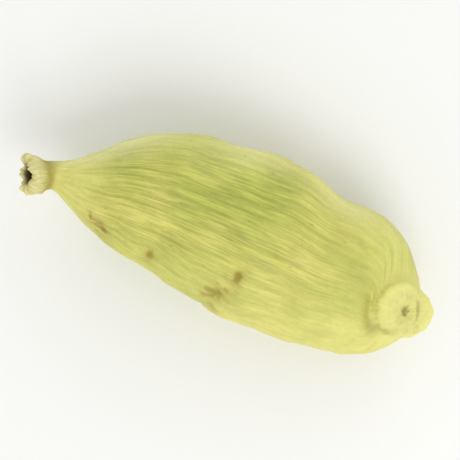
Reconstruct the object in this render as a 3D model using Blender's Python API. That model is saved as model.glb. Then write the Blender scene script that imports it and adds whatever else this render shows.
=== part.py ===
"""A green cardamom pod: one dried, three-sided capsule that lies on a small flat spot.

X runs along the pod, from the flower collar on its beak to the stalk knob on its base, and Z is up.
The pod grew as one piece, so it is one closed body. It starts as a sphere whose poles lie at the
bottom of the collar's hollow and of the stalk's pit: the sphere's rings become sections of the
pod, and its meridians become the ribs that run from end to end. Lengths are in millimetres.
"""

import math

import bmesh
import bpy
import numpy as np

MM = 0.001

RIBS = 44
POINTS_PER_RIB = 3  # one in the groove and two on the rib, which is broader than the groove
RIB_HEIGHT = 0.065
RIB_WANDER = 0.022  # radians that a rib strays to either side on its way along the pod
RIB_UNEVENNESS = 0.25  # share of its height that a rib gains or loses along the way
RIBS_PAIR_AT_BEAK = (-4.5, -7.0)  # between these places every second rib runs out
RIBS_PAIR_AT_BASE = (5.0, 7.2)
RIBS_FADE = (2.6, 6.8)  # between these places the ribs grow shallow towards the knob
RIBS_FADE_SHARE = 0.7
RIBS_FADE_BELOW = 0.45  # how much of that fading the sides and the underside get
BODY_RINGS = 20
COLLAR_FINE_ROW = 4  # from this row of the collar's profile on, the rings lie twice as close

# The collar, the dried foot of the flower tube: a turned profile of (out, radius) rows, where out
# is measured along the collar's axis from its rim, starting at the bottom of its hollow.
COLLAR_RIM = (-9.52, 0.10, 4.36)
COLLAR_YAW = math.radians(22)
COLLAR_PITCH = math.radians(-28)
COLLAR_PROFILE = (
    (-0.72, 0.0),
    (-0.64, 0.27),
    (-0.30, 0.37),
    (-0.02, 0.47),
    (0.06, 0.64),
    (-0.12, 0.83),
    (-0.58, 0.76),
    (-1.00, 0.66),
)
COLLAR_RIM_ROW = 4.4
COLLAR_RIM_SPREAD = 1.3  # rows either side of the rim that its torn edge shifts
COLLAR_TEETH = 5
COLLAR_TOOTH = 0.11

# The husk: each section leans in the plane that holds its highest and its lowest point, and
# reaches out to y_left and y_right. The last five lean back into the stalk knob.
KNOB_SECTIONS = 5
HUSK_SECTIONS = (
    # x_top, z_top, x_low, z_low, y_left, y_right
    (-8.10, 4.32, -8.00, 3.08, 1.32, -0.24),
    (-7.20, 4.78, -7.15, 2.38, 1.92, -0.72),
    (-6.10, 5.24, -6.10, 1.62, 2.80, -1.38),
    (-4.60, 5.74, -4.60, 0.80, 3.82, -1.84),
    (-2.90, 6.10, -2.90, 0.18, 4.33, -2.20),
    (-1.10, 6.32, -1.10, -0.14, 4.60, -2.62),
    (0.60, 6.40, 0.60, -0.24, 4.68, -2.98),
    (2.40, 6.36, 2.40, -0.18, 4.56, -3.18),
    (4.30, 6.16, 4.30, 0.10, 4.02, -3.16),
    (5.80, 5.88, 6.00, 0.52, 3.78, -3.02),
    (6.80, 5.48, 7.75, 1.05, 3.40, -2.74),
    (7.10, 5.18, 8.80, 1.60, 2.92, -2.52),
    (7.22, 5.09, 9.50, 2.30, 2.02, -1.96),
    (7.33, 5.19, 9.76, 3.04, 1.26, -1.42),
    (7.55, 5.36, 9.88, 3.68, 1.12, -1.26),
)

# The scar on the knob where the stalk broke off, turned about its own axis like the collar, and
# ending at the bottom of a small pit.
SCAR_MIDDLE = (8.86, -0.10, 4.72)
SCAR_YAW = 0.0
SCAR_PITCH = math.radians(55)
SCAR_PROFILE = (
    (0.08, 0.96),
    (0.11, 0.74),
    (0.00, 0.36),
    (-0.11, 0.13),
    (-0.14, 0.0),
)

# Lumps on the collar and on the knob, and creases between them where the height is negative: the
# place along the rings, the angle round them, the height, the rings that it spreads over, and how
# narrow it is round them.
END_LUMPS = (
    (4.7, math.radians(8), 0.16, 1.1, 5.0),
    (4.5, math.radians(88), 0.07, 1.0, 4.0),
    (6.3, math.radians(160), 0.22, 1.0, 5.0),
    (4.6, math.radians(200), 0.08, 1.2, 6.0),
    (5.0, math.radians(48), -0.10, 1.4, 14.0),
    (5.0, math.radians(126), -0.10, 1.5, 16.0),
    (5.2, math.radians(-70), -0.07, 1.4, 10.0),
    (22.4, math.radians(-78), 0.32, 1.1, 2.6),
    (23.9, math.radians(-78), -0.14, 0.5, 2.4),
    (22.6, math.radians(28), 0.15, 0.9, 4.0),
    (22.4, math.radians(84), 0.09, 0.6, 5.0),
    (22.7, math.radians(-150), 0.08, 0.9, 5.0),
    (23.0, math.radians(52), -0.07, 0.8, 14.0),
    (22.8, math.radians(-28), -0.12, 1.0, 9.0),
    (22.9, math.radians(168), -0.07, 0.9, 12.0),
)
LUMP_LIFT = 0.45  # how far a lump also stands out along the end's axis, as a share of its height

# Each keel is a blunt corner of the three-sided section: its angle from +Y towards +Z, and how
# far it stands out, as a share of the radius.
KEELS = (
    (math.radians(24), 0.13),
    (math.radians(168), 0.15),
    (math.radians(280), 0.08),
)
KEEL_SHARPNESS = 5.0

# Soft dents, each as its x, its angle round the section, its depth, its length along X and its
# width round the section.
DENTS = (
    (0.45, math.radians(207), 0.30, 0.9, 0.75),
    (0.35, math.radians(52), 0.14, 1.3, 0.9),
    (4.40, math.radians(22), 0.08, 0.9, 1.2),
    (-4.60, math.radians(196), 0.12, 1.5, 1.0),
    (4.20, math.radians(128), 0.10, 1.6, 1.3),
)

# The fold across the ribs, with the swollen lobe beyond it: its two ends as x and angle, its
# depth and its half width.
FOLD_START = (1.45, math.radians(112))
FOLD_END = (-0.35, math.radians(186))
FOLD_DEPTH = 0.11
FOLD_WIDTH = 0.24
FOLD_WAVE = 0.16  # how far the fold strays to either side of its straight line
FOLD_WAVE_PITCH = 3.1  # radians per millimetre
FOLD_FADE = 0.5  # how far before and behind its ends it fades
BANK_HEIGHT = 0.55  # the bank beside the fold, as a share of the fold's depth
BANK_PLACE = 0.53
BANK_WIDTH = 0.38

# The lobe, where most of the ribs are missing: its x and angle, its length along X and its width
# round the section in radians.
LOBE_X = 4.6
LOBE_ANGLE = math.radians(172)
LOBE_LENGTH = 3.0
LOBE_WIDTH = 0.55
LOBE_SMOOTHNESS = 0.8

MEAN_RADIUS = 3.4  # turns an angle round the section into a length on the husk
SEED_SWELL = 0.045  # how far the rows of seeds press the husk out
SEED_PITCH = 2.9
SEED_STAGGER = 2.0  # radians that neighbouring rows of seeds are out of step

REST_LEVEL = 0.0
REST_FADE = 0.7  # the ribs run out over this height above the flat spot

HUSK_COLOUR = (0.53, 0.54, 0.13, 1.0)
HUSK_ROUGHNESS = 0.62


def smooth_step(value, start, end):
    """0 before start, 1 after end, and a smooth rise between."""
    share = np.clip((value - start) / (end - start), 0.0, 1.0)
    return share * share * (3.0 - 2.0 * share)


def end_frame(yaw, pitch):
    """The axis, the side vector and the up vector of a turned end."""
    axis = np.array(
        (math.cos(pitch) * math.cos(yaw), math.cos(pitch) * math.sin(yaw), math.sin(pitch))
    )
    side = np.array((-math.sin(yaw), math.cos(yaw), 0.0))
    return axis, side, np.cross(axis, side)


def turned_rings(profile, middle, yaw, pitch, outward):
    """Rings of a turned end, each as its centre, its side and up radii, and its share of the keels."""
    axis, side, up = end_frame(yaw, pitch)
    return [
        np.concatenate((middle + outward * out * axis, radius * side, radius * up, (0.0,)))
        for out, radius in profile
    ]


def husk_rings():
    """Rings of the husk, in the same form."""
    rings = []
    last = len(HUSK_SECTIONS) - 1
    for i, (x_top, z_top, x_low, z_low, y_left, y_right) in enumerate(HUSK_SECTIONS):
        centre = ((x_top + x_low) / 2, (y_left + y_right) / 2, (z_top + z_low) / 2)
        side = (0.0, (y_left - y_right) / 2, 0.0)
        up = ((x_top - x_low) / 2, 0.0, (z_top - z_low) / 2)
        keel_share = smooth_step(i, 0, 3) * (1.0 - smooth_step(i, last - KNOB_SECTIONS, last - 1))
        rings.append(np.concatenate((centre, side, up, (keel_share,))))
    return rings


def pod_rings():
    """All the rings in order, from the hollow of the collar to the pit of the scar."""
    collar = turned_rings(COLLAR_PROFILE, COLLAR_RIM, COLLAR_YAW, COLLAR_PITCH, -1)
    scar = turned_rings(SCAR_PROFILE, SCAR_MIDDLE, SCAR_YAW, SCAR_PITCH, 1)
    return np.array(collar + husk_rings() + scar)


def ring_places():
    """Where the sphere's rings fall along the list of rings: closer where the husk is long."""
    body_start = len(COLLAR_PROFILE)
    knob_end = body_start + len(HUSK_SECTIONS)
    knob_start = knob_end - KNOB_SECTIONS
    return np.concatenate(
        (
            np.arange(COLLAR_FINE_ROW),
            np.arange(COLLAR_FINE_ROW, body_start, 0.5),
            np.linspace(body_start, knob_start, BODY_RINGS, endpoint=False),
            np.arange(knob_start, knob_end, 0.5),
            np.arange(knob_end, knob_end + len(SCAR_PROFILE)),
        )
    )


def rings_between(rings, places):
    """Smooth rings at fractional places along the list, by a cubic through its rings."""
    steps = np.linalg.norm(np.diff(rings[:, :9], axis=0), axis=1)
    knots = np.concatenate(((0.0,), np.cumsum(steps)))
    slopes = np.gradient(rings, knots, axis=0, edge_order=1)
    start = np.clip(np.floor(places).astype(int), 0, len(rings) - 2)
    t = (places - start)[:, None]
    gap = (knots[start + 1] - knots[start])[:, None]
    return (
        (2 * t**3 - 3 * t**2 + 1) * rings[start]
        + (t**3 - 2 * t**2 + t) * gap * slopes[start]
        + (3 * t**2 - 2 * t**3) * rings[start + 1]
        + (t**3 - t**2) * gap * slopes[start + 1]
    )


def section_outline(angles, keel_share):
    """The three-sided section, scaled to reach from -1 to 1 both across and up."""
    radius = np.ones_like(angles)
    for keel_angle, height in KEELS:
        radius += keel_share * height * np.exp(KEEL_SHARPNESS * (np.cos(angles - keel_angle) - 1))
    outline = []
    for part in (radius * np.cos(angles), radius * np.sin(angles)):
        low, high = part.min(), part.max()
        outline.append((2 * part - low - high) / (high - low))
    return outline


def smooth_lobe(x, angles):
    """Share of the ribs that is missing on the swollen lobe beside the lower keel, near the base."""
    turned = np.angle(np.exp(1j * (angles - LOBE_ANGLE)))
    return LOBE_SMOOTHNESS * np.exp(-(((x - LOBE_X) / LOBE_LENGTH) ** 2) - (turned / LOBE_WIDTH) ** 2)


def rib_relief(x, meridian, keel_share):
    """Height of the ribs: every second one runs out before it reaches an end."""
    pairing = max(smooth_step(x, *RIBS_PAIR_AT_BEAK), smooth_step(x, *RIBS_PAIR_AT_BASE))
    groove = (1 - pairing) * np.cos(RIBS * meridian) + pairing * np.cos(RIBS / 2 * meridian)
    unevenness = np.sin(0.9 * x + 3 * meridian) * np.cos(0.5 * x - 2 * meridian)
    strength = 1 - RIB_UNEVENNESS + RIB_UNEVENNESS * unevenness
    below = 1 - smooth_step(np.sin(meridian), -0.2, 0.5)
    fading = RIBS_FADE_SHARE * (1 - (1 - RIBS_FADE_BELOW) * below)
    strength *= 1 - fading * smooth_step(x, *RIBS_FADE)
    return -RIB_HEIGHT * strength * keel_share * groove


def soft_relief(x, angles, keel_share):
    """The swelling over the seeds, and the soft dents."""
    row_phase = SEED_STAGGER * np.sin(2 * angles)
    relief = SEED_SWELL * keel_share * np.sin(2 * math.pi * x / SEED_PITCH + row_phase)
    for dent_x, dent_angle, depth, length, width in DENTS:
        turned = np.angle(np.exp(1j * (angles - dent_angle)))
        across = MEAN_RADIUS * turned / width
        relief -= depth * np.exp(-(((x - dent_x) / length) ** 2) - across**2)
    return relief


def fold_relief(x, angles):
    """The fold across the ribs: a groove, with a low bank on the side of the lobe."""
    start = np.array((FOLD_START[0], MEAN_RADIUS * FOLD_START[1]))
    run = np.array((FOLD_END[0], MEAN_RADIUS * FOLD_END[1])) - start
    length = np.linalg.norm(run)
    run /= length
    ahead = x - start[0]
    around = MEAN_RADIUS * (angles % (2 * math.pi)) - start[1]
    along = ahead * run[0] + around * run[1]
    aside = ahead * run[1] - around * run[0] + FOLD_WAVE * np.sin(FOLD_WAVE_PITCH * along)
    fade = smooth_step(along, -FOLD_FADE, FOLD_FADE)
    fade *= 1 - smooth_step(along, length - FOLD_FADE, length + FOLD_FADE)
    groove = np.exp(-((aside / FOLD_WIDTH) ** 2))
    bank = np.exp(-(((aside - BANK_PLACE) / BANK_WIDTH) ** 2))
    return FOLD_DEPTH * fade * (BANK_HEIGHT * bank - groove)


def end_axis(place):
    """Outward direction of the nearer end."""
    if place < len(COLLAR_PROFILE):
        return -end_frame(COLLAR_YAW, COLLAR_PITCH)[0]
    return end_frame(SCAR_YAW, SCAR_PITCH)[0]


def end_lumps(place, meridian):
    """Height of the lumps and creases on the collar and the knob."""
    height = np.zeros_like(meridian)
    for lump_place, angle, lump_height, spread, sharpness in END_LUMPS:
        along = math.exp(-(((place - lump_place) / spread) ** 2))
        height += lump_height * along * np.exp(sharpness * (np.cos(meridian - angle) - 1))
    return height


def torn_rim(place, meridian):
    """Shift of the collar's rim along its axis, where it stands out or is torn back."""
    rim_share = np.exp(-(((place - COLLAR_RIM_ROW) / COLLAR_RIM_SPREAD) ** 2))
    teeth = np.cos(COLLAR_TEETH * meridian + 0.6) + 0.5 * np.cos(2 * meridian - 1.1)
    axis = end_frame(COLLAR_YAW, COLLAR_PITCH)[0]
    return np.outer(-COLLAR_TOOTH * rim_share * teeth, axis)


def section_points(ring, place, meridian):
    """Points of one section, at the given angles of the sphere's meridians."""
    centre, side, up, keel_share = ring[:3], ring[3:6], ring[6:9], ring[9]
    x = centre[0]
    wander = np.sin(0.45 * x + 2 * meridian) + 0.35 * np.sin(1.1 * x - 3 * meridian)
    angles = meridian + RIB_WANDER * keel_share * wander
    across, upward = section_outline(angles, keel_share)
    arms = np.outer(across, side) + np.outer(upward, up)
    lengths = np.linalg.norm(arms, axis=1)
    lumps = end_lumps(place, meridian)
    relief = rib_relief(x, meridian, keel_share) * (1 - smooth_lobe(x, angles))
    relief += soft_relief(x, angles, keel_share) + fold_relief(x, angles) + lumps
    relief *= smooth_step(centre[2] + arms[:, 2], REST_LEVEL, REST_LEVEL + REST_FADE)
    points = centre + arms * (1 + relief / lengths)[:, None] + torn_rim(place, meridian)
    points += np.outer(LUMP_LIFT * lumps, end_axis(place))
    points[:, 2] = np.maximum(points[:, 2], REST_LEVEL)
    return points


def pod_points(ring_number, meridian):
    """Points of the pod, from each sphere vertex's ring number and its meridian's angle."""
    places = ring_places()
    rings = rings_between(pod_rings(), places)
    points = np.zeros((len(ring_number), 3))
    points[ring_number == 0] = rings[0, :3]
    points[ring_number == len(rings) - 1] = rings[-1, :3]
    for i in range(1, len(rings) - 1):
        on_ring = ring_number == i
        points[on_ring] = section_points(rings[i], places[i], meridian[on_ring])
    return points


def make_husk_material():
    material = bpy.data.materials.new("husk")
    material.use_nodes = True
    shader = material.node_tree.nodes["Principled BSDF"]
    shader.inputs["Base Color"].default_value = HUSK_COLOUR
    shader.inputs["Roughness"].default_value = HUSK_ROUGHNESS
    shader.inputs["Metallic"].default_value = 0.0
    material.diffuse_color = HUSK_COLOUR
    return material


def make_pod(collection):
    """The whole pod as one object, standing with the middle of its box over the origin."""
    steps = len(ring_places()) - 1
    shape = bmesh.new()
    bmesh.ops.create_uvsphere(
        shape, u_segments=RIBS * POINTS_PER_RIB, v_segments=steps, radius=1.0
    )
    sphere = np.array([vertex.co for vertex in shape.verts])
    from_pole = np.arccos(np.clip(-sphere[:, 2], -1, 1)) / math.pi
    meridian = np.arctan2(sphere[:, 1], sphere[:, 0])
    points = pod_points(np.rint(from_pole * steps).astype(int), meridian)
    middle = (points.min(axis=0) + points.max(axis=0)) / 2
    points -= (middle[0], middle[1], REST_LEVEL)
    for vertex, point in zip(shape.verts, points):
        vertex.co = point * MM
    bmesh.ops.triangulate(shape, faces=shape.faces)
    mesh = bpy.data.meshes.new("pod")
    shape.to_mesh(mesh)
    shape.free()
    mesh.shade_smooth()
    mesh.materials.append(make_husk_material())
    pod = bpy.data.objects.new("pod", mesh)
    collection.objects.link(pod)
    return pod


def main():
    for old in list(bpy.data.objects):
        bpy.data.objects.remove(old, do_unlink=True)
    collection = bpy.data.collections.new("green_cardamom_pod")
    bpy.context.scene.collection.children.link(collection)
    make_pod(collection)


main()
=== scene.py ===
"""Looks of the green cardamom pod: its finely ribbed husk, torn collar, stalk knob and stains.

X runs along the pod, from the flower collar on its beak to the stalk knob on its base, and Z is up.
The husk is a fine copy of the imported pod, laid over it by the middle of its box. It is shaped and
coloured in millimetres. The floor, the lights and the camera are in metres.
"""

import math
from typing import NamedTuple

import bmesh
import bpy
import numpy as np
from mathutils import Matrix, Vector


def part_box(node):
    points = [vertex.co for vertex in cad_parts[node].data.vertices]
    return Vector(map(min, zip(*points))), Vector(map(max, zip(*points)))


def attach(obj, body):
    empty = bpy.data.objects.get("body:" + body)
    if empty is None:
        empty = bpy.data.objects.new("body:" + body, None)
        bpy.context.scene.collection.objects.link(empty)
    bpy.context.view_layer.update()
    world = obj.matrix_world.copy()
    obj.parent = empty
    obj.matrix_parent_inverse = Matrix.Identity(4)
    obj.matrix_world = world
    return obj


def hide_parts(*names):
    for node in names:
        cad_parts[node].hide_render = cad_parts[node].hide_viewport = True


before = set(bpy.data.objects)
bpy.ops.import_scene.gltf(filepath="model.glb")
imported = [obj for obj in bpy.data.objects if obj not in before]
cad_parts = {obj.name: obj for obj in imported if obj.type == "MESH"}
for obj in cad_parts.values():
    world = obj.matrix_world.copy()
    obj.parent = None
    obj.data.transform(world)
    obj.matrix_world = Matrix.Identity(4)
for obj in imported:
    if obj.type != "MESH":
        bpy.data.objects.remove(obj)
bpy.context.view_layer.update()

MM = 0.001

# ---------------------------------------------------------------------------------------------
# Shape of the pod
# ---------------------------------------------------------------------------------------------

RIBS = 44
POINTS_PER_RIB = 10
RIB_HEIGHT = 0.050
RIB_CREST = 0.5  # how far the ribs stand out, as a share of their height
RIBS_PAIR_AT_BEAK = (-4.5, -7.0)  # between these places every second rib runs out
RIBS_PAIR_AT_BASE = (5.0, 7.2)
RIBS_FADE = (1.6, 6.4)  # between these places the ribs grow shallow towards the knob
RIBS_FADE_SHARE = 0.8
RIBS_FADE_BELOW = 0.35  # how much of that fading the sides and the underside get
UPPER_FACE = (-0.2, 0.5)  # sines of the angles between which the sides turn into the upper face

# A rib strays to either side on its way along the pod, by a sum of waves: each wave's share, its
# radians per millimetre along the pod, and how often it goes round the pod.
RIB_WANDER = 0.022  # radians
RIB_WANDER_WAVES = (
    (1.00, 0.45, 2),
    (0.35, 1.10, -3),
    (0.16, 2.40, 9),
    (0.07, 4.10, -14),
)

# The grooves between the ribs. Each has its own depth, and fades in and out along the pod by two
# waves of its own.
GROOVE_DEPTH = 1.4  # as a share of the ribs' height
GROOVE_OWN_DEPTH = (0.30, 1.25)  # least and greatest share of it that a groove has
GROOVE_WIDTH = 0.17  # half width of a groove, as a share of the rib spacing
GROOVE_WIDENING = 0.5  # how much wider it is where every second rib has run out
GROOVE_STRENGTH = 0.80  # of its own depth, and how far each of its two waves swings that
GROOVE_SWING = 0.22
GROOVE_PITCH = (0.45, 1.3)  # least and greatest radians per millimetre of its waves
GROOVE_DRAWS = np.random.default_rng(seed=11)
GROOVE_DEPTHS = GROOVE_DRAWS.uniform(*GROOVE_OWN_DEPTH, RIBS)
GROOVE_FADE_PHASES = GROOVE_DRAWS.uniform(0, 2 * math.pi, (RIBS, 2))
GROOVE_FADE_PITCHES = GROOVE_DRAWS.uniform(*GROOVE_PITCH, (RIBS, 2))

# The collar, the dried foot of the flower tube: a turned profile of (out, radius) rows, where out
# is measured along the collar's axis from its rim, starting at the bottom of its hollow.
COLLAR_RIM = (-9.52, 0.10, 4.36)
COLLAR_YAW = math.radians(22)
COLLAR_PITCH = math.radians(-28)
COLLAR_PROFILE = (
    (-0.72, 0.0),
    (-0.64, 0.27),
    (-0.30, 0.37),
    (-0.02, 0.47),
    (0.06, 0.64),
    (-0.12, 0.83),
    (-0.58, 0.76),
    (-1.00, 0.66),
)

# The husk: each section leans in the plane that holds its highest and its lowest point, and
# reaches out to y_left and y_right. The last five lean back into the stalk knob.
KNOB_SECTIONS = 5
HUSK_SECTIONS = (
    # x_top, z_top, x_low, z_low, y_left, y_right
    (-8.10, 4.32, -8.00, 3.08, 1.32, -0.24),
    (-7.20, 4.78, -7.15, 2.38, 1.92, -0.72),
    (-6.10, 5.24, -6.10, 1.62, 2.80, -1.38),
    (-4.60, 5.74, -4.60, 0.80, 3.82, -1.84),
    (-2.90, 6.10, -2.90, 0.18, 4.33, -2.20),
    (-1.10, 6.32, -1.10, -0.14, 4.60, -2.62),
    (0.60, 6.40, 0.60, -0.24, 4.68, -2.98),
    (2.40, 6.36, 2.40, -0.18, 4.56, -3.18),
    (4.30, 6.16, 4.30, 0.10, 4.02, -3.16),
    (5.80, 5.88, 6.00, 0.52, 3.78, -3.02),
    (6.80, 5.48, 7.75, 1.05, 3.40, -2.74),
    (7.10, 5.18, 8.80, 1.60, 2.92, -2.52),
    (7.22, 5.09, 9.50, 2.30, 2.02, -1.96),
    (7.33, 5.19, 9.76, 3.04, 1.26, -1.42),
    (7.55, 5.36, 9.88, 3.68, 1.12, -1.26),
)

# The scar on the knob where the stalk broke off, turned about its own axis like the collar, and
# ending at the bottom of a small pit.
SCAR_MIDDLE = (8.86, -0.10, 4.72)
SCAR_YAW = 0.0
SCAR_PITCH = math.radians(55)
SCAR_PROFILE = (
    (0.08, 0.96),
    (0.11, 0.74),
    (0.00, 0.36),
    (-0.11, 0.13),
    (-0.14, 0.0),
)

# The rings of all three tables form one list. A place along it is a ring's number, or lies between
# two, and these are the rings where the husk, its knob and the scar start.
HUSK_RING = len(COLLAR_PROFILE)
KNOB_RING = HUSK_RING + len(HUSK_SECTIONS) - KNOB_SECTIONS
SCAR_RING = HUSK_RING + len(HUSK_SECTIONS)
LAST_RING = SCAR_RING + len(SCAR_PROFILE) - 1

# The fine rings: each stretch of the list, and the steps from one of its rings to the next.
STRETCHES = (
    (0, HUSK_RING, 5),
    (HUSK_RING, KNOB_RING, 12),
    (KNOB_RING, SCAR_RING, 7),
    (SCAR_RING, LAST_RING, 5),
)

# The collar's rim is torn: its shift along the collar's axis is a sum of waves, each of a share of
# the shift, a number of teeth round the rim and a phase.
RIM_RING = 4.4
RIM_SPREAD = 1.3  # rings either side of the rim that it shifts
RIM_SHIFT = 0.11
RIM_WAVES = (
    (1.00, 5, 0.6),
    (0.50, 2, -1.1),
    (0.35, 13, 2.0),
    (0.25, 21, 0.0),
)

# Lumps on the collar and on the knob, and creases between them where the height is negative: the
# place along the rings, the angle round them, the height, the rings that it spreads over, and how
# narrow it is round them.
END_LUMPS = (
    (4.7, math.radians(8), 0.16, 1.1, 5.0),
    (4.5, math.radians(88), 0.07, 1.0, 4.0),
    (6.3, math.radians(160), 0.22, 1.0, 5.0),
    (4.6, math.radians(200), 0.08, 1.2, 6.0),
    (5.0, math.radians(48), -0.10, 1.4, 14.0),
    (5.0, math.radians(126), -0.10, 1.5, 16.0),
    (5.2, math.radians(-70), -0.07, 1.4, 10.0),
    (22.4, math.radians(-78), 0.32, 1.1, 2.6),
    (23.9, math.radians(-78), -0.14, 0.5, 2.4),
    (22.6, math.radians(28), 0.15, 0.9, 4.0),
    (22.4, math.radians(84), 0.09, 0.6, 5.0),
    (22.7, math.radians(-150), 0.08, 0.9, 5.0),
    (23.0, math.radians(52), -0.07, 0.8, 14.0),
    (22.8, math.radians(-28), -0.12, 1.0, 9.0),
    (22.9, math.radians(168), -0.07, 0.9, 12.0),
)
LUMP_LIFT = 0.45  # how far a lump also stands out along the end's axis, as a share of its height

# Each keel is a blunt corner of the three-sided section: its angle from +Y towards +Z, and how
# far it stands out, as a share of the radius.
KEELS = (
    (math.radians(24), 0.13),
    (math.radians(168), 0.15),
    (math.radians(280), 0.08),
)
KEEL_SHARPNESS = 5.0
KEEL_START = (0, 3)  # the husk's sections between which the keels set in and then run out
KEEL_END = (len(HUSK_SECTIONS) - KNOB_SECTIONS - 1, len(HUSK_SECTIONS) - 2)

# A thin seam runs along each keel, in the middle of a pale band. It strays and fades by waves, each
# of a swing, of radians per millimetre, and of a phase as a multiple of the keel's angle.
SEAM_WIDTH = 0.035  # radians
SEAM_HEIGHT = 0.05
SEAM_END = (4.6, 6.4)  # between these places the seams run out towards the knob
SEAM_STRAYS = (
    (0.050, 0.8, 9),
    (0.025, 2.3, 5),
)
SEAM_FADE = (0.25, 1.3, 4)
BAND_WIDTH = 0.30  # radians

# Soft dents, each as its x, its angle round the section, its depth, its length along X and its
# width round the section.
DENTS = (
    (0.45, math.radians(207), 0.30, 0.9, 0.75),
    (0.35, math.radians(52), 0.14, 1.3, 0.9),
    (4.40, math.radians(22), 0.08, 0.9, 1.2),
    (-4.60, math.radians(196), 0.12, 1.5, 1.0),
    (4.20, math.radians(128), 0.10, 1.6, 1.3),
)

# The fold across the ribs, with the swollen lobe beyond it: its two ends as x and angle, its
# depth and its half width.
FOLD_START = (1.45, math.radians(112))
FOLD_END = (-0.35, math.radians(186))
FOLD_DEPTH = 0.11
FOLD_WIDTH = 0.24
FOLD_WAVE = 0.16  # how far the fold strays to either side of its straight line
FOLD_WAVE_PITCH = 3.1  # radians per millimetre
FOLD_FADE = 0.5  # how far before and behind its ends it fades
BANK_HEIGHT = 0.55  # the bank beside the fold, as a share of the fold's depth
BANK_PLACE = 0.53
BANK_WIDTH = 0.38

# The lobe, where most of the ribs are missing: its x and angle, its length along X and its width
# round the section in radians.
LOBE_X = 4.6
LOBE_ANGLE = math.radians(172)
LOBE_LENGTH = 3.0
LOBE_WIDTH = 0.55
LOBE_SMOOTHNESS = 0.8

MEAN_RADIUS = 3.4  # turns an angle round the section into a length on the husk
SEED_SWELL = 0.045  # how far the rows of seeds press the husk out
SEED_PITCH = 2.9
SEED_STAGGER = 2.0  # radians that neighbouring rows of seeds are out of step

REST_LEVEL = 0.0
REST_FADE = 0.7  # the relief runs out over this height above the flat spot

# The places along the rings between which each mask rises or falls.
RIBS_START = (HUSK_RING - 0.6, HUSK_RING + 1.6)
HUSK_START = (HUSK_RING, HUSK_RING + 2)
HUSK_END = (KNOB_RING, KNOB_RING + 3)
HOLLOW_END = (2.2, 3.6)
COLLAR_END = (HUSK_RING - 1.2, HUSK_RING - 0.4)
PUCKERS_START = (KNOB_RING - 1.5, KNOB_RING + 1.5)
KNOB_START = (KNOB_RING + 1.8, KNOB_RING + 2.9)
DISC_START = (SCAR_RING - 0.7, SCAR_RING + 0.3)
PIT_START = (SCAR_RING + 2.45, SCAR_RING + 3.0)

# The neck between the collar and the husk.
NECK_PLACE = HUSK_RING - 1.25
NECK_WIDTH = 0.80  # places
NECK_WAIST = 0.05  # how far the neck is drawn in

# The crook, a shallow crease that winds round the husk's end to the knob, painted with olive shade.
CROOK_ANGLE = math.radians(130)
CROOK_PLACE = KNOB_RING + 2.0
CROOK_SLANT = 3.0  # places that it moves on for each radian round the pod
CROOK_WIDTH = 0.9  # places
CROOK_NARROWNESS = 3.0

# The small pit in the middle of the scar's disc.
PIT_RAGGEDNESS = (0.22, 0.16, 30)  # the places that its edge strays, the wavelength and the seed
PIT_DEPTH = 0.03

WAVE_COUNT = 28  # how many waves make up a noise
WAVELENGTH_SPREAD = (0.7, 1.5)  # their lengths, as multiples of the noise's wavelength


class Waves(NamedTuple):
    """Noise on one part of the pod, in space, or where it has a squeeze, along the fibres."""

    part: str
    height: float
    wavelength: float
    seed: int
    squeeze: float | None = None  # along the ribs, so that the waves draw out
    count: int = WAVE_COUNT


# The small unevenness of a dried husk, and of the scar's disc.
UNEVENNESS = (
    Waves("husk", 0.045, 3.2, 21),
    Waves("husk", 0.018, 1.1, 22),
    Waves("husk", 0.009, 0.45, 23, squeeze=0.16),
    Waves("husk", 0.004, 0.30, 24, squeeze=0.60),
    Waves("husk", 0.0035, 0.17, 28, squeeze=0.05, count=40),
    Waves("collar", 0.035, 0.45, 25),
    Waves("knob", 0.018, 0.80, 26),
    Waves("knob", 0.008, 0.30, 27),
    Waves("crook", 0.014, 0.35, 31),
    Waves("puckers", 0.016, 0.75, 34, squeeze=0.40),
    Waves("puckers", 0.008, 0.33, 35, squeeze=0.20),
)
DISC_UNEVENNESS = (
    Waves("disc", 0.026, 0.60, 32),
    Waves("disc", 0.011, 0.17, 33),
)

# Stains on the upper face: x, y, length, width, turn in degrees, strength.
STAINS = (
    (-6.08, -0.78, 0.30, 0.17, -60, 0.90),
    (-5.38, -1.12, 0.46, 0.22, -32, 0.90),
    (-5.70, -0.92, 0.75, 0.38, -28, 0.74),
    (-3.00, -1.50, 0.36, 0.29, 0, 0.95),
    (1.10, -1.12, 0.42, 0.27, 60, 1.00),
    (0.80, -1.75, 0.55, 0.16, 62, 0.45),
    (0.35, -2.15, 0.70, 0.44, 12, 0.82),
    (1.60, -2.10, 0.55, 0.40, 0, 0.22),
    (-5.70, 2.10, 0.22, 0.10, 40, 0.45),
    (-1.20, -0.20, 0.14, 0.10, 0, 0.35),
    (2.30, 0.60, 0.10, 0.08, 0, 0.30),
)
STAIN_RAGGEDNESS = (0.45, 0.45, 5)  # how much its edge's sharpness varies, the wavelength, the seed
STAIN_LEAST_SHARPNESS = 0.3
STAIN_FACING = (-0.1, 0.2)  # how far up the husk faces where the stains set in
STAIN_SINK = 0.05


def smooth_step(value, start, end):
    """0 before start, 1 after end, and a smooth rise between."""
    share = np.clip((value - start) / (end - start), 0.0, 1.0)
    return share * share * (3.0 - 2.0 * share)


def bell(value, middle, width):
    """1 at the middle and 0 well away from it."""
    return np.exp(-(((value - middle) / width) ** 2))


def turned_from(angles, angle):
    """How far the angles are from one angle, the shorter way round."""
    return np.angle(np.exp(1j * (angles - angle)))


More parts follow.
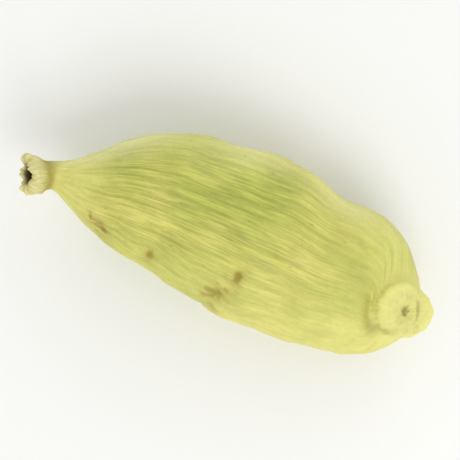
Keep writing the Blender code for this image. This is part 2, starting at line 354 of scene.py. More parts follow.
def waves(points, wavelength, seed, count=WAVE_COUNT):
    """Smooth noise of about -1 to 1: many plane waves in seeded directions, about a wavelength long."""
    draws = np.random.default_rng(seed)
    directions = draws.normal(size=(count, 3))
    directions /= np.linalg.norm(directions, axis=1)[:, None]
    pitches = 2 * math.pi / (wavelength * draws.uniform(*WAVELENGTH_SPREAD, count))
    phases = draws.uniform(0, 2 * math.pi, count)
    return np.sin(points @ (directions * pitches[:, None]).T + phases).sum(axis=1) / math.sqrt(count)


def end_frame(yaw, pitch):
    """The axis, the side vector and the up vector of a turned end."""
    axis = np.array(
        (math.cos(pitch) * math.cos(yaw), math.cos(pitch) * math.sin(yaw), math.sin(pitch))
    )
    side = np.array((-math.sin(yaw), math.cos(yaw), 0.0))
    return axis, side, np.cross(axis, side)


def end_axis(place):
    """Outward direction of the nearer end."""
    if place < HUSK_RING:
        return -end_frame(COLLAR_YAW, COLLAR_PITCH)[0]
    return end_frame(SCAR_YAW, SCAR_PITCH)[0]


def turned_rings(profile, middle, yaw, pitch, outward):
    """Rings of a turned end, each as its centre, its side and up radii, and its share of the keels."""
    axis, side, up = end_frame(yaw, pitch)
    return [
        np.concatenate((middle + outward * out * axis, radius * side, radius * up, (0.0,)))
        for out, radius in profile
    ]


def husk_rings():
    """Rings of the husk, in the same form."""
    rings = []
    for i, (x_top, z_top, x_low, z_low, y_left, y_right) in enumerate(HUSK_SECTIONS):
        centre = ((x_top + x_low) / 2, (y_left + y_right) / 2, (z_top + z_low) / 2)
        side = (0.0, (y_left - y_right) / 2, 0.0)
        up = ((x_top - x_low) / 2, 0.0, (z_top - z_low) / 2)
        keel_share = smooth_step(i, *KEEL_START) * (1.0 - smooth_step(i, *KEEL_END))
        rings.append(np.concatenate((centre, side, up, (keel_share,))))
    return rings


def pod_rings():
    """All the rings in order, from the hollow of the collar to the pit of the scar."""
    collar = turned_rings(COLLAR_PROFILE, COLLAR_RIM, COLLAR_YAW, COLLAR_PITCH, -1)
    scar = turned_rings(SCAR_PROFILE, SCAR_MIDDLE, SCAR_YAW, SCAR_PITCH, 1)
    return np.array(collar + husk_rings() + scar)


def ring_places():
    """Where the fine rings fall along the list of rings."""
    places = [
        np.linspace(start, end, (end - start) * steps, endpoint=False)
        for start, end, steps in STRETCHES
    ]
    return np.concatenate(places + [[LAST_RING]])


def rings_between(rings, places):
    """Smooth rings at fractional places along the list, by a cubic through its rings."""
    steps = np.linalg.norm(np.diff(rings[:, :9], axis=0), axis=1)
    knots = np.concatenate(((0.0,), np.cumsum(steps)))
    slopes = np.gradient(rings, knots, axis=0, edge_order=1)
    start = np.clip(np.floor(places).astype(int), 0, len(rings) - 2)
    t = (places - start)[:, None]
    gap = (knots[start + 1] - knots[start])[:, None]
    return (
        (2 * t**3 - 3 * t**2 + 1) * rings[start]
        + (t**3 - 2 * t**2 + t) * gap * slopes[start]
        + (3 * t**2 - 2 * t**3) * rings[start + 1]
        + (t**3 - t**2) * gap * slopes[start + 1]
    )


def section_outline(angles, keel_share):
    """The three-sided section, scaled to reach from -1 to 1 both across and up."""
    radius = np.ones_like(angles)
    for keel_angle, height in KEELS:
        radius += keel_share * height * np.exp(KEEL_SHARPNESS * (np.cos(angles - keel_angle) - 1))
    outline = []
    for part in (radius * np.cos(angles), radius * np.sin(angles)):
        low, high = part.min(), part.max()
        outline.append((2 * part - low - high) / (high - low))
    return outline


def lobe_share(x, angles):
    """1 on the swollen lobe beside the lower keel, near the base, and 0 away from it."""
    turned = turned_from(angles, LOBE_ANGLE)
    return np.exp(-(((x - LOBE_X) / LOBE_LENGTH) ** 2) - (turned / LOBE_WIDTH) ** 2)


def own_groove(x, meridian):
    """Each groove by its own draws, from 0 on the ribs to about 1 in the grooves."""
    turns = RIBS * meridian / (2 * math.pi)
    number = np.rint(turns).astype(int) % RIBS
    offset = turns - np.rint(turns)
    fade = np.sin(GROOVE_FADE_PITCHES[number] * x + GROOVE_FADE_PHASES[number]).sum(axis=1)
    pairing = max(smooth_step(x, *RIBS_PAIR_AT_BEAK), smooth_step(x, *RIBS_PAIR_AT_BASE))
    depth = GROOVE_DEPTHS[number] * (GROOVE_STRENGTH + GROOVE_SWING * fade)
    depth *= np.where(number % 2, 1 - pairing, 1.0)
    return np.clip(depth, 0, None) * bell(offset, 0.0, GROOVE_WIDTH * (1 + GROOVE_WIDENING * pairing))


def grooves(x, place, meridian, angles, keel_share):
    """The grooves: they start behind the beak's neck, and are shallow on the lobe and near the knob."""
    started = smooth_step(place, *RIBS_START) if x < 0 else keel_share
    below = 1 - smooth_step(np.sin(meridian), *UPPER_FACE)
    fading = RIBS_FADE_SHARE * (1 - (1 - RIBS_FADE_BELOW) * below) * smooth_step(x, *RIBS_FADE)
    smoothed = 1 - LOBE_SMOOTHNESS * lobe_share(x, angles)
    return own_groove(x, meridian) * started * smoothed * (1 - fading)


def soft_relief(x, angles, keel_share):
    """The swelling over the seeds, and the soft dents."""
    row_phase = SEED_STAGGER * np.sin(2 * angles)
    relief = SEED_SWELL * keel_share * np.sin(2 * math.pi * x / SEED_PITCH + row_phase)
    for dent_x, dent_angle, depth, length, width in DENTS:
        across = MEAN_RADIUS * turned_from(angles, dent_angle) / width
        relief -= depth * np.exp(-(((x - dent_x) / length) ** 2) - across**2)
    return relief


def fold_relief(x, angles):
    """The fold across the ribs, a groove with a low bank on the side of the lobe, and its mask."""
    start = np.array((FOLD_START[0], MEAN_RADIUS * FOLD_START[1]))
    run = np.array((FOLD_END[0], MEAN_RADIUS * FOLD_END[1])) - start
    length = np.linalg.norm(run)
    run /= length
    ahead = x - start[0]
    around = MEAN_RADIUS * (angles % (2 * math.pi)) - start[1]
    along = ahead * run[0] + around * run[1]
    aside = ahead * run[1] - around * run[0] + FOLD_WAVE * np.sin(FOLD_WAVE_PITCH * along)
    fade = smooth_step(along, -FOLD_FADE, FOLD_FADE)
    fade *= 1 - smooth_step(along, length - FOLD_FADE, length + FOLD_FADE)
    groove = bell(aside, 0.0, FOLD_WIDTH)
    bank = bell(aside, BANK_PLACE, BANK_WIDTH)
    return FOLD_DEPTH * fade * (BANK_HEIGHT * bank - groove), fade * groove


def end_lumps(place, meridian):
    """Height of the lumps and creases on the collar and the knob."""
    height = np.zeros_like(meridian)
    for lump_place, angle, lump_height, spread, sharpness in END_LUMPS:
        along = bell(place, lump_place, spread)
        height += lump_height * along * np.exp(sharpness * (np.cos(meridian - angle) - 1))
    return height


def seam_wave(x, keel_angle, swing, pitch, phase):
    """One wave of a seam along its keel."""
    return swing * math.sin(pitch * x + phase * keel_angle)


def along_keels(x, angles, width):
    """1 along each keel, 0 away from it: the line strays a little and fades in places."""
    line = np.zeros_like(angles)
    for keel_angle, _ in KEELS:
        stray = sum(seam_wave(x, keel_angle, *wave) for wave in SEAM_STRAYS)
        fade = 1 - SEAM_FADE[0] + seam_wave(x, keel_angle, *SEAM_FADE)
        turned = turned_from(angles, keel_angle + stray)
        line = np.maximum(line, fade * bell(turned, 0.0, width))
    return line


def torn_rim(place, meridian):
    """Shift of the collar's rim along its axis, where it stands out or is torn back."""
    teeth = sum(share * np.cos(number * meridian + phase) for share, number, phase in RIM_WAVES)
    axis = end_frame(COLLAR_YAW, COLLAR_PITCH)[0]
    return np.outer(-RIM_SHIFT * bell(place, RIM_RING, RIM_SPREAD) * teeth, axis)


def section(ring, place, meridian):
    """One section at the angles of the sphere's meridians: its points, where they face, its masks."""
    centre, side, up, keel_share = ring[:3], ring[3:6], ring[6:9], ring[9]
    x = centre[0]
    wander = sum(
        share * np.sin(pitch * x + rounds * meridian) for share, pitch, rounds in RIB_WANDER_WAVES
    )
    angles = meridian + RIB_WANDER * keel_share * wander
    across, upward = section_outline(angles, keel_share)
    arms = np.outer(across, side) + np.outer(upward, up)
    lengths = np.linalg.norm(arms, axis=1)
    groove = grooves(x, place, meridian, angles, keel_share)
    seam_share = keel_share * (1 - smooth_step(x, *SEAM_END))
    seam = along_keels(x, angles, SEAM_WIDTH) * seam_share
    folded, fold = fold_relief(x, angles)
    lumps = end_lumps(place, meridian)
    relief = RIB_HEIGHT * (RIB_CREST * keel_share - GROOVE_DEPTH * groove) + folded + lumps
    relief += soft_relief(x, angles, keel_share) + SEAM_HEIGHT * seam
    relief *= smooth_step(centre[2] + arms[:, 2], REST_LEVEL, REST_LEVEL + REST_FADE)
    points = centre + arms * (1 + relief / lengths)[:, None] + torn_rim(place, meridian)
    points += np.outer(LUMP_LIFT * lumps, end_axis(place))
    on_cylinder = (MEAN_RADIUS * np.cos(angles), MEAN_RADIUS * np.sin(angles), np.full_like(angles, x))
    return {
        "points": points,
        "outward": arms / lengths[:, None],
        "fibre": np.stack(on_cylinder, axis=1),
        "groove": groove,
        "seam": seam,
        "band": along_keels(x, angles, BAND_WIDTH) * keel_share,
        "fold": fold,
        "lump": lumps,
        "lobe": lobe_share(x, angles),
    }


def pod_shape(ring_number, meridian):
    """The fine pod: its points, where they face, their places along the rings, and their masks.

    The mask "fibre" is a point's place on a straight cylinder of the mean radius, whose axes run
    towards +Y, towards +Z and along the ribs.
    """
    places = ring_places()
    rings = rings_between(pod_rings(), places)
    count = len(ring_number)
    pod = {name: np.zeros((count, 3)) for name in ("points", "outward", "fibre")}
    for name in ("groove", "seam", "band", "fold", "lump", "lobe"):
        pod[name] = np.zeros(count)
    for end in (0, len(rings) - 1):
        at_end = ring_number == end
        pod["points"][at_end] = rings[end, :3]
        pod["outward"][at_end] = (math.copysign(1, rings[end, 0]), 0, 0)
        pod["fibre"][at_end] = (0, 0, rings[end, 0])
    for i in range(1, len(rings) - 1):
        on_ring = ring_number == i
        for name, values in section(rings[i], places[i], meridian[on_ring]).items():
            pod[name][on_ring] = values
    return pod.pop("points"), pod.pop("outward"), places[ring_number], pod


def stain_share(points, outward):
    """How stained the upper face is, from 0 to 1."""
    share = np.zeros(len(points))
    amount, wavelength, seed = STAIN_RAGGEDNESS
    sharpness = np.clip(1 + amount * waves(points, wavelength, seed), STAIN_LEAST_SHARPNESS, None)
    for x, y, length, width, turn, strength in STAINS:
        angle = math.radians(turn)
        dx, dy = points[:, 0] - x, points[:, 1] - y
        along = (dx * math.cos(angle) + dy * math.sin(angle)) / length
        across = (dy * math.cos(angle) - dx * math.sin(angle)) / width
        share = np.maximum(share, strength * np.exp(-(along**2 + across**2) * sharpness))
    return share * smooth_step(outward[:, 2], *STAIN_FACING)


def crook_share(place, fibre):
    """1 along the crease that winds round the husk's end to the knob, and 0 away from it."""
    aslant = np.arctan2(fibre[:, 1], fibre[:, 0]) - CROOK_ANGLE
    along = (place - CROOK_PLACE - CROOK_SLANT * aslant) / CROOK_WIDTH
    return np.exp(-(along**2) + CROOK_NARROWNESS * (np.cos(aslant) - 1))


def unevenness(table, shares, points, fibre):
    """Height of the noises in a table, where each part of the pod has its share of the points."""
    height = np.zeros(len(points))
    for noise in table:
        at = points if noise.squeeze is None else fibre * (1, 1, noise.squeeze)
        relief = waves(at, noise.wavelength, noise.seed, noise.count)
        height += shares[noise.part] * noise.height * relief
    return height


def weather(points, outward, place, masks):
    """Adds the small unevenness of a dried husk to the points, in place, and finishes the masks."""
    fibre = masks["fibre"]
    stray, wavelength, seed = PIT_RAGGEDNESS
    pit = smooth_step(place + stray * waves(points, wavelength, seed), *PIT_START)
    hollow = 1 - smooth_step(place, *HOLLOW_END)
    collar = 1 - smooth_step(place, *COLLAR_END)
    neck = bell(place, NECK_PLACE, NECK_WIDTH)
    knob = smooth_step(place, *KNOB_START)
    disc = smooth_step(place, *DISC_START)
    crook = crook_share(place, fibre)
    husk = smooth_step(place, *HUSK_START) * (1 - smooth_step(place, *HUSK_END))
    stain = stain_share(points, outward)
    shares = {
        "husk": husk,
        "collar": collar * (1 - hollow),
        "knob": knob,
        "crook": crook,
        "puckers": smooth_step(place, *PUCKERS_START) * (1 - disc),
        "disc": disc,
    }
    relief = unevenness(UNEVENNESS, shares, points, fibre)
    relief -= STAIN_SINK * stain * husk + NECK_WAIST * neck
    relief *= smooth_step(points[:, 2], REST_LEVEL, REST_LEVEL + REST_FADE)
    points += outward * relief[:, None]
    rough = unevenness(DISC_UNEVENNESS, shares, points, fibre) - PIT_DEPTH * pit * disc
    points += np.outer(rough, end_axis(SCAR_RING))
    points[:, 2] = np.maximum(points[:, 2], REST_LEVEL)
    masks.update(
        collar=collar, hollow=hollow, neck=neck, knob=knob, pit=pit, stain=stain, disc=disc, crook=crook
    )


def over_packed_pod(points):
    """The points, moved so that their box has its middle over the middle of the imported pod's."""
    low, high = (np.array(corner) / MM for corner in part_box("pod"))
    shift = (low + high) / 2 - (points.min(axis=0) + points.max(axis=0)) / 2
    return points + (shift[0], shift[1], low[2])


def store_masks(mesh, masks):
    """Puts each mask on the mesh's points as an attribute."""
    for name, values in masks.items():
        is_vector = values.ndim == 2
        layer = mesh.attributes.new(name, "FLOAT_VECTOR" if is_vector else "FLOAT", "POINT")
        layer.data.foreach_set("vector" if is_vector else "value", values.ravel())


def make_pod():
    """The fine pod as one mesh object: a sphere whose rings become the pod's sections."""
    steps = len(ring_places()) - 1
    sphere = bmesh.new()
    sphere.loops.layers.uv.new("OFBake")  # the layer that the material is baked to
    bmesh.ops.create_uvsphere(
        sphere, u_segments=RIBS * POINTS_PER_RIB, v_segments=steps, radius=1.0, calc_uvs=True
    )
    directions = np.array([vertex.co for vertex in sphere.verts], dtype=float)
    mesh = bpy.data.meshes.new("pod_husk")
    sphere.to_mesh(mesh)
    sphere.free()

    from_pole = np.arccos(np.clip(-directions[:, 2], -1, 1)) / math.pi
    meridian = np.arctan2(directions[:, 1], directions[:, 0])
    points, outward, place, masks = pod_shape(np.rint(from_pole * steps).astype(int), meridian)
    weather(points, outward, place, masks)
    mesh.vertices.foreach_set("co", (over_packed_pod(points) * MM).ravel())
    store_masks(mesh, masks)
    mesh.update()
    mesh.shade_smooth()
    pod = bpy.data.objects.new("pod_husk", mesh)
    bpy.context.scene.collection.objects.link(pod)
    return pod


# ---------------------------------------------------------------------------------------------
# Materials
# ---------------------------------------------------------------------------------------------


class Ramp(NamedTuple):
    """A smooth change from low, where a value is at start, to high, where it is at end."""

    start: float
    end: float
    low: float = 0.0
    high: float = 1.0


class Noise(NamedTuple):
    """A noise on the pod's places in space or on its fibres."""

    on: str  # "place" or "fibre"
    scale: float  # per millimetre
    squeeze: float = 1.0  # along the pod, so that it draws out
    detail: float = 3.0
    roughness: float = 0.55
    distortion: float = 0.0


class Graph:
    """Short calls for building one material's nodes."""

    def __init__(self, name):
        self.material = bpy.data.materials.new(name)
        self.material.use_nodes = True
        self.nodes = self.material.node_tree.nodes
        self.links = self.material.node_tree.links
        self.shader = self.nodes["Principled BSDF"]
        self.place = self.nodes.new("ShaderNodeTexCoord").outputs["Object"]

    def put(self, socket, value):
        if isinstance(value, bpy.types.NodeSocket):
            self.links.new(value, socket)
        elif isinstance(value, tuple) and len(socket.default_value) == 4:
            socket.default_value = (*value, 1.0)
        else:
            socket.default_value = value

    def attribute(self, name, output="Fac"):
        node = self.nodes.new("ShaderNodeAttribute")
        node.attribute_name = name
        return node.outputs[output]

    def split(self, vector):
        """The three numbers of a vector."""
        node = self.nodes.new("ShaderNodeSeparateXYZ")
        self.put(node.inputs[0], vector)
        return tuple(node.outputs)

    def math(self, operation, a, b):
        node = self.nodes.new("ShaderNodeMath")
        node.operation = operation
        self.put(node.inputs[0], a)
        self.put(node.inputs[1], b)
        return node.outputs[0]

    def product(self, first, *others):
        for other in others:
            first = self.math("MULTIPLY", first, other)
        return first

    def scaled(self, vector, scale):
        node = self.nodes.new("ShaderNodeVectorMath")
        node.operation = "MULTIPLY"
        self.put(node.inputs[0], vector)
        self.put(node.inputs[1], scale)
        return node.outputs[0]

    def noise(self, vector, scale, detail=3.0, roughness=0.55, distortion=0.0):
        node = self.nodes.new("ShaderNodeTexNoise")
        self.put(node.inputs["Vector"], vector)
        node.inputs["Scale"].default_value = scale
        node.inputs["Detail"].default_value = detail
        node.inputs["Roughness"].default_value = roughness
        node.inputs["Distortion"].default_value = distortion
        return node.outputs["Fac"]

    def ramp(self, value, ramp):
        node = self.nodes.new("ShaderNodeMapRange")
        node.interpolation_type = "SMOOTHSTEP"
        self.put(node.inputs["Value"], value)
        for name, limit in zip(("From Min", "From Max", "To Min", "To Max"), ramp):
            node.inputs[name].default_value = limit
        return node.outputs["Result"]

    def mix(self, factor, a, b, blend="MIX"):
        node = self.nodes.new("ShaderNodeMix")
        node.data_type = "RGBA"
        node.blend_type = blend
        factor_socket, a_socket, b_socket = (node.inputs[i] for i in (0, 6, 7))
        self.put(factor_socket, factor)
        self.put(a_socket, a)
        self.put(b_socket, b)
        return node.outputs[2]

    def tinted(self, colour, tint, *shares):
        """The colour with a tint over it, by the product of the shares."""
        return self.mix(self.product(*shares), colour, tint)

    def shaded(self, colour, lightness, shades, share):
        """The colour times a shade, which runs from the first to the second with the lightness."""
        return self.mix(share, colour, self.mix(lightness, *shades), "MULTIPLY")

    def bump(self, height, distance, strength, normal=None):
        node = self.nodes.new("ShaderNodeBump")
        node.inputs["Distance"].default_value = distance
        node.inputs["Strength"].default_value = strength
        self.put(node.inputs["Height"], height)
        if normal is not None:
            self.put(node.inputs["Normal"], normal)
        return node.outputs["Normal"]


# The noises that colour the husk, on its places in space or on its fibres.
HUSK_NOISES = {
    "patches": Noise("place", 0.30, 0.60, 3.0, 0.50),
    "mottle": Noise("place", 1.10, 0.55, 2.0, 0.50, 0.3),
    "threads": Noise("fibre", 4.2, 0.10, 5.0, 0.65, 0.4),
    "hairs": Noise("fibre", 13.0, 0.045, 3.0, 0.60, 0.2),
    "grain": Noise("place", 5.2, 1.0, 4.0, 0.60),
    "streaks": Noise("fibre", 2.2, 0.12, 2.0),
    "flecks": Noise("fibre", 1.7, 0.50, 3.0, 0.60, 0.4),
    "scar": Noise("place", 3.4, 1.0, 3.0, 0.60),
    "specks": Noise("fibre", 3.1, 0.50, 2.0, 0.50),
    "blots": Noise("fibre", 4.0, 0.45, 5.0, 0.65, 0.6),
    "breaks": Noise("place", 1.5),
    "papery": Noise("fibre", 9.0, 0.30),
}


class Husk(Graph):
    """The husk's graph, with its own noises and places."""

    def __init__(self):
        super().__init__("husk")
        self.axes = dict(zip("xyz", self.split(self.place)))
        self.fibre = self.attribute("fibre", "Vector")
        self.towards_left, self.towards_top, _ = self.split(self.fibre)

    def over(self, axis, ramp):
        """A ramp along one axis of the pod, whose start and end are in millimetres."""
        in_metres = ramp._replace(start=ramp.start * MM, end=ramp.end * MM)
        return self.ramp(self.axes[axis], in_metres)

    def pattern(self, name):
        """One of the husk's noises."""
        noise = HUSK_NOISES[name]
        if noise.on == "place":
            vector, squeeze, scale = self.place, (noise.squeeze, 1.0, 1.0), noise.scale / MM
        else:
            vector, squeeze, scale = self.fibre, (1.0, 1.0, noise.squeeze), noise.scale
        if noise.squeeze != 1.0:
            vector = self.scaled(vector, squeeze)
        return self.noise(vector, scale, noise.detail, noise.roughness, noise.distortion)


# Each layer of the husk's colour has its values above its function. A ramp along x, y or z starts
# and ends at places in millimetres, and any other at values of its noise or mask. A share is how
# strong a tint or a shade is.
PALE_END = (0.77, 0.74, 0.235)
# painted highlight: whitish, along the upper edge of the pod and of its beak
PAINTED_EDGE_HIGHLIGHT = (0.78, 0.77, 0.37)
# painted shade: olive, in the creases of the knob and along the crook
PAINTED_CREASE_SHADE = (0.36, 0.33, 0.07)
CREAM_SHADE = (0.50, 0.41, 0.16)
STAIN_BROWN = (0.31, 0.222, 0.03)

LOWER_SIDE = Ramp(-0.8, -3.2)  # along y

GREEN = (0.46, 0.50, 0.095)
STRAW = (0.67, 0.62, 0.165)
PATCHES = Ramp(0.30, 0.72, -0.20, 0.80)
STRAW_TO_BASE = Ramp(-3.0, 6.0, high=0.32)
STRAW_TO_LOWER_SIDE = Ramp(2.0, -4.0, high=0.22)
STRAW_ON_LOBE = 0.35
MOTTLE = Ramp(0.30, 0.70)
MOTTLE_SHADES = ((0.90, 0.93, 0.84), (1.08, 1.06, 1.10))
MOTTLE_SHARE = 0.8


def ground_colour(husk):
    """Broad patches, from green on the upper side to straw towards the base and the lower side."""
    straw = husk.math("ADD", husk.over("x", STRAW_TO_BASE), husk.over("y", STRAW_TO_LOWER_SIDE))
    straw = husk.math("ADD", straw, husk.product(husk.attribute("lobe"), STRAW_ON_LOBE))
    straw = husk.math("ADD", husk.ramp(husk.pattern("patches"), PATCHES), straw)
    colour = husk.mix(straw, GREEN, STRAW)
    mottle = husk.ramp(husk.pattern("mottle"), MOTTLE)
    return husk.shaded(colour, mottle, MOTTLE_SHADES, MOTTLE_SHARE)


# the grooves' darker green: partly the husk's own colour, partly painted shade
GROOVE_GREEN_AND_SHADE = (0.36, 0.37, 0.06)
GROOVE_SHARE = 0.22
THREADS = Ramp(0.25, 0.75)
THREAD_SHADES = ((0.70, 0.71, 0.68), (1.24, 1.22, 1.25))
THREAD_SHARE = 0.72
HAIRS = Ramp(0.36, 0.64)
HAIR_SHADES = ((0.74, 0.75, 0.70), (1.20, 1.18, 1.22))
HAIR_SHARE = 0.8  # of the threads' share
PLAIN_TO_BASE = Ramp(1.5, 6.5)
PLAIN_ABOVE = Ramp(2.0, 4.5, low=0.3)
PLAIN_SHARE = 0.36  # what the threads' share loses where the husk is plain


def with_fibres(husk, colour, threads, hairs):
    """Fibres along the pod, fainter on the lobe and the upper side of the base, and the grooves darker:
    partly their own greener colour, partly painted shade.
    """
    plain = husk.math("MAXIMUM", husk.attribute("lobe"), husk.over("x", PLAIN_TO_BASE))
    plain = husk.product(plain, husk.over("z", PLAIN_ABOVE), PLAIN_SHARE)
    share = husk.math("SUBTRACT", THREAD_SHARE, plain)
    colour = husk.shaded(colour, husk.ramp(threads, THREADS), THREAD_SHADES, share)
    share = husk.product(share, HAIR_SHARE)
    colour = husk.shaded(colour, husk.ramp(hairs, HAIRS), HAIR_SHADES, share)
    # partly painted shade: the grooves darker
    return husk.tinted(colour, GROOVE_GREEN_AND_SHADE, husk.attribute("groove"), GROOVE_SHARE)


LOWER_SIDE_PALENESS = 0.7
PALE_SHARE = 0.6
SEAM_SHARE = 0.5
# painted highlight along the upper edge: its share, rising along y
UPPER_EDGE = Ramp(0.8, 2.8, high=0.42)


def with_pale_sides(husk, colour):
    """The lobe, the lower side, the bands on the keels and their seams, and a painted whitish highlight
    along the upper edge.
    """
    lower_side = husk.product(husk.over("y", LOWER_SIDE), LOWER_SIDE_PALENESS)
    band = husk.attribute("band")
    pale = husk.math("MAXIMUM", husk.attribute("lobe"), lower_side)
    pale = husk.math("MAXIMUM", pale, band)
    colour = husk.tinted(colour, PALE_END, pale, PALE_SHARE)
    colour = husk.tinted(colour, PALE_END, husk.attribute("seam"), SEAM_SHARE)
    # painted highlight, whitish, on the band of the upper keel
    return husk.tinted(colour, PAINTED_EDGE_HIGHLIGHT, band, husk.over("y", UPPER_EDGE))


BEAK_YELLOW = (0.85, 0.81, 0.26)
YELLOW_TO_BEAK = Ramp(-4.8, -7.8, high=0.72)
PALE_TO_BASE = Ramp(4.6, 8.2)
STREAKS = Ramp(0.35, 0.65, 0.25, 0.75)
# where the beak's painted whitish highlight lies: towards the beak, the left and the top
EDGE_TO_BEAK = Ramp(-3.6, -6.0, high=0.55)
EDGE_ON_LEFT = Ramp(1.2, 2.9)
EDGE_ON_TOP = Ramp(-0.2, 1.4)
FLECKS = Ramp(0.34, 0.66)
FLECK_SHADES = ((0.87, 0.88, 0.82), (1.09, 1.07, 1.12))
FLECKS_TO_BEAK = Ramp(-3.6, -6.2, high=0.7)
FLECKS_ON_LOWER_SIDE = 0.5


def with_ends(husk, colour):
    """The yellow, flecked beak with a painted whitish highlight on its upper edge, and the streaked
    pale base.
    """
    colour = husk.tinted(colour, BEAK_YELLOW, husk.over("x", YELLOW_TO_BEAK))
    streaks = husk.ramp(husk.pattern("streaks"), STREAKS)
    colour = husk.tinted(colour, PALE_END, husk.over("x", PALE_TO_BASE), streaks)
    # painted highlight, whitish, on the beak's upper edge
    on_edge = (husk.ramp(husk.towards_left, EDGE_ON_LEFT), husk.ramp(husk.towards_top, EDGE_ON_TOP))
    colour = husk.tinted(colour, PAINTED_EDGE_HIGHLIGHT, *on_edge, husk.over("x", EDGE_TO_BEAK))
    lower_side = husk.product(husk.over("y", LOWER_SIDE), FLECKS_ON_LOWER_SIDE)
    share = husk.math("MAXIMUM", husk.over("x", FLECKS_TO_BEAK), lower_side)
    return husk.shaded(colour, husk.ramp(husk.pattern("flecks"), FLECKS), FLECK_SHADES, share)


KNOB_SHARE = 0.8
# share of the painted olive shade along the crook
CROOK_SHARE = 0.72
# painted highlight: cream on the knob's lump tops, and its share by their height
PAINTED_LUMP_HIGHLIGHT = (0.83, 0.81, 0.245)
LUMP_TOPS = Ramp(0.04, 0.16, high=0.8)
# painted shade: its share in the creases between the lumps, by their depth
LUMP_CREASES = Ramp(-0.02, -0.10, high=0.6)
SCAR_CREAM = (0.73, 0.71, 0.25)
SCAR_SPOTS = Ramp(0.42, 0.70, high=0.5)
SCAR_SHARE = 0.6


def with_knob(husk, colour):
    """The pale knob and its spotted scar, with a painted cream highlight on the lumps and painted olive
    shade in the creases and along the crook.
    """
    lump = husk.attribute("lump")
    colour = husk.tinted(colour, PALE_END, husk.attribute("knob"), KNOB_SHARE)
    # painted shade, olive, along the crook
    colour = husk.tinted(colour, PAINTED_CREASE_SHADE, husk.attribute("crook"), CROOK_SHARE)
    # painted highlight, cream, on the lump tops
    colour = husk.tinted(colour, PAINTED_LUMP_HIGHLIGHT, husk.ramp(lump, LUMP_TOPS))
    scar = husk.tinted(SCAR_CREAM, CREAM_SHADE, husk.ramp(husk.pattern("scar"), SCAR_SPOTS))
    colour = husk.tinted(colour, scar, husk.attribute("disc"), SCAR_SHARE)
    # painted shade, olive, in the creases between the lumps
    return husk.tinted(colour, PAINTED_CREASE_SHADE, husk.ramp(lump, LUMP_CREASES))


SPECK_BROWN = (0.28, 0.21, 0.06)
SPECKS = Ramp(0.71, 0.78)
SPECKS_TO_KNOB = Ramp(6.0, 7.5, 0.40, 0.0)
STAIN_TAN = (0.43, 0.36, 0.07)
STAIN_HALO = Ramp(0.25, 0.60, 0.35, 0.75)
STAIN_BLOTCHES = 0.9  # how much the blots count beside the stain's own strength
STAIN_CORE = Ramp(0.85, 1.45, high=0.85)
FOLD_BREAKS = Ramp(0.40, 0.65, high=0.22)


def with_stains(husk, colour):
    """Dark specks, the blotched stains with their tan halo, and a brown tint along the fold, broken up
    by a noise.
    """
    specks = husk.ramp(husk.pattern("specks"), SPECKS)
    colour = husk.tinted(colour, SPECK_BROWN, specks, husk.over("x", SPECKS_TO_KNOB))
    stain, blots = husk.attribute("stain"), husk.pattern("blots")
    colour = husk.tinted(colour, STAIN_TAN, stain, husk.ramp(blots, STAIN_HALO))
    core = husk.math("ADD", stain, husk.product(blots, STAIN_BLOTCHES))
    colour = husk.tinted(colour, STAIN_BROWN, husk.ramp(core, STAIN_CORE))
    breaks = husk.ramp(husk.pattern("breaks"), FOLD_BREAKS)
    return husk.tinted(colour, STAIN_BROWN, husk.attribute("fold"), breaks)


CREAM = (0.77, 0.73, 0.32)
PAPERY = Ramp(0.40, 0.75)
# the neck's tan: partly the tissue's own colour, partly painted shade where the collar meets the husk
NECK_TAN_AND_SHADE = (0.38, 0.33, 0.055)
NECK_SHARE = 0.92
# the hollow's dark brown: partly the tissue's own colour, partly painted shade inside the hollow
HOLLOW_BROWN_AND_SHADE = (0.080, 0.050, 0.004)
PIT_BROWN = (0.41, 0.34, 0.10)


def with_dead_tissue_and_shade(husk, colour):
    """The collar's papery cream, the tan neck behind it, darkened partly by painted shade, the dark
    hollow, whose brown is partly painted shade, and the brown pit.
    """
    cream = husk.mix(husk.ramp(husk.pattern("papery"), PAPERY), CREAM, CREAM_SHADE)
    colour = husk.tinted(colour, cream, husk.attribute("collar"))
    # partly painted shade: the neck tan and darker
    colour = husk.tinted(colour, NECK_TAN_AND_SHADE, husk.attribute("neck"), NECK_SHARE)
    # partly painted shade: the hollow dark brown
    colour = husk.tinted(colour, HOLLOW_BROWN_AND_SHADE, husk.attribute("hollow"))
    return husk.tinted(colour, PIT_BROWN, husk.attribute("pit"))


GRAIN_SHADES = ((0.72, 0.72, 0.70), (1.25, 1.25, 1.25))
GRAIN_SHARE = 0.35
HUSK_ROUGHNESS = Ramp(0.2, 0.8, 0.50, 0.72)
HUSK_SPECULAR = 0.35

# The finest relief, as bumps of a height in millimetres and a strength.
THREAD_BUMP = (0.050, 0.55)
HAIR_BUMP = (0.030, 0.55)
GRAIN_BUMP = (0.016, 0.60)


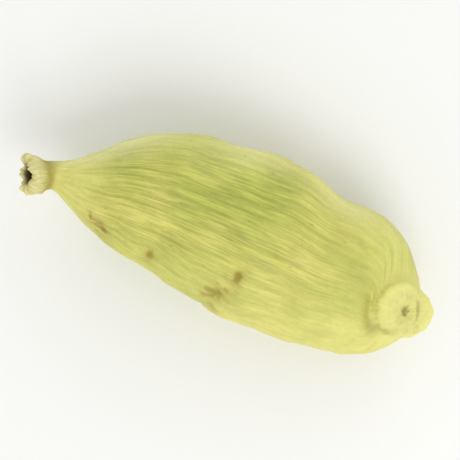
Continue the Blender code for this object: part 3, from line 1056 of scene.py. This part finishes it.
def make_husk_material():
    """Dry papery husk: darker green in the grooves, partly its own colour and partly painted shade,
    strawy on the ribs, pale at both ends.
    """
    husk = Husk()
    threads, hairs, grain = husk.pattern("threads"), husk.pattern("hairs"), husk.pattern("grain")
    colour = ground_colour(husk)
    colour = with_fibres(husk, colour, threads, hairs)
    colour = with_pale_sides(husk, colour)
    colour = with_ends(husk, colour)
    colour = with_knob(husk, colour)
    colour = husk.shaded(colour, grain, GRAIN_SHADES, GRAIN_SHARE)
    colour = with_stains(husk, colour)
    colour = with_dead_tissue_and_shade(husk, colour)
    normal = None
    for height, (distance, strength) in (
        (threads, THREAD_BUMP), (hairs, HAIR_BUMP), (grain, GRAIN_BUMP)
    ):
        normal = husk.bump(height, distance * MM, strength, normal)
    husk.put(husk.shader.inputs["Base Color"], colour)
    husk.put(husk.shader.inputs["Roughness"], husk.ramp(threads, HUSK_ROUGHNESS))
    husk.put(husk.shader.inputs["Specular IOR Level"], HUSK_SPECULAR)
    husk.put(husk.shader.inputs["Normal"], normal)
    return husk.material


# ---------------------------------------------------------------------------------------------
# Stage, lights and camera, in metres
# ---------------------------------------------------------------------------------------------

FLOOR_SIDE = 4.0
FLOOR_TONES = ((0.88, 0.88, 0.87), (0.90, 0.90, 0.89))
FLOOR_PATCHES = 40.0  # noise scale per metre
FLOOR_ROUGHNESS = 0.9
FLOOR_SPECULAR = 0.1

WORLD_COLOUR = (1.0, 1.0, 0.99, 1.0)
WORLD_STRENGTH = 0.745

# Square area lights aimed at the pod: azimuth from +X towards +Y and elevation in degrees,
# distance, side, and power in watts.
SOFTBOXES = {
    "key": (-48, 50, 0.20, 0.12, 0.160),
    "fill": (85, 32, 0.25, 0.20, 0.078),
    "rim": (100, 12, 0.25, 0.12, 0.028),
}
AIM = Vector((0, 0, 0.003))

PHOTO_ROLL = math.radians(19.36)  # how far the pod's axis runs down to the right in the view
VIEW_WIDTH = 0.0205
LENS = 150.0
SENSOR = 36.0
NEAREST = 0.001
FARTHEST = 10.0


def make_floor():
    """The white surface that the pod lies on."""
    bpy.ops.mesh.primitive_plane_add(size=FLOOR_SIDE, location=(0, 0, 0))
    floor = bpy.context.object
    floor.name = "floor"
    paper = Graph("floor_paper")
    tone = paper.mix(paper.noise(paper.place, FLOOR_PATCHES), *FLOOR_TONES)
    paper.put(paper.shader.inputs["Base Color"], tone)
    paper.put(paper.shader.inputs["Roughness"], FLOOR_ROUGHNESS)
    paper.put(paper.shader.inputs["Specular IOR Level"], FLOOR_SPECULAR)
    floor.data.materials.append(paper.material)


def make_world():
    """An even white surround."""
    world = bpy.data.worlds.new("studio")
    world.use_nodes = True
    background = world.node_tree.nodes["Background"]
    background.inputs["Color"].default_value = WORLD_COLOUR
    background.inputs["Strength"].default_value = WORLD_STRENGTH
    bpy.context.scene.world = world


def make_softbox(name, azimuth, elevation, distance, side, power):
    """A square area light aimed at the pod."""
    data = bpy.data.lights.new(name, "AREA")
    data.size = side
    data.energy = power
    lamp = bpy.data.objects.new(name, data)
    turn, lift = math.radians(azimuth), math.radians(elevation)
    ahead = math.cos(lift)
    towards = Vector((math.cos(turn) * ahead, math.sin(turn) * ahead, math.sin(lift)))
    lamp.location = towards * distance + AIM
    lamp.rotation_mode = "QUATERNION"
    lamp.rotation_quaternion = towards.to_track_quat("Z", "Y")
    bpy.context.scene.collection.objects.link(lamp)


def make_camera():
    """Looks straight down, rolled so that the pod lies as in the heap."""
    data = bpy.data.cameras.new("camera")
    data.lens = LENS
    data.sensor_width = SENSOR
    data.clip_start = NEAREST
    data.clip_end = FARTHEST
    camera = bpy.data.objects.new("camera", data)
    low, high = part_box("pod")
    middle = (low + high) / 2
    above = high.z + VIEW_WIDTH * LENS / SENSOR
    stand = Matrix.Translation((middle.x, middle.y, above))
    camera.matrix_world = stand @ Matrix.Rotation(PHOTO_ROLL, 4, "Z")
    bpy.context.scene.collection.objects.link(camera)
    bpy.context.scene.camera = camera


def main():
    pod = make_pod()
    pod.data.materials.append(make_husk_material())
    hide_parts("pod")
    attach(pod, "root")
    make_floor()
    make_world()
    for name, values in SOFTBOXES.items():
        make_softbox(name, *values)
    make_camera()
    bpy.context.scene.view_settings.view_transform = "Standard"


main()
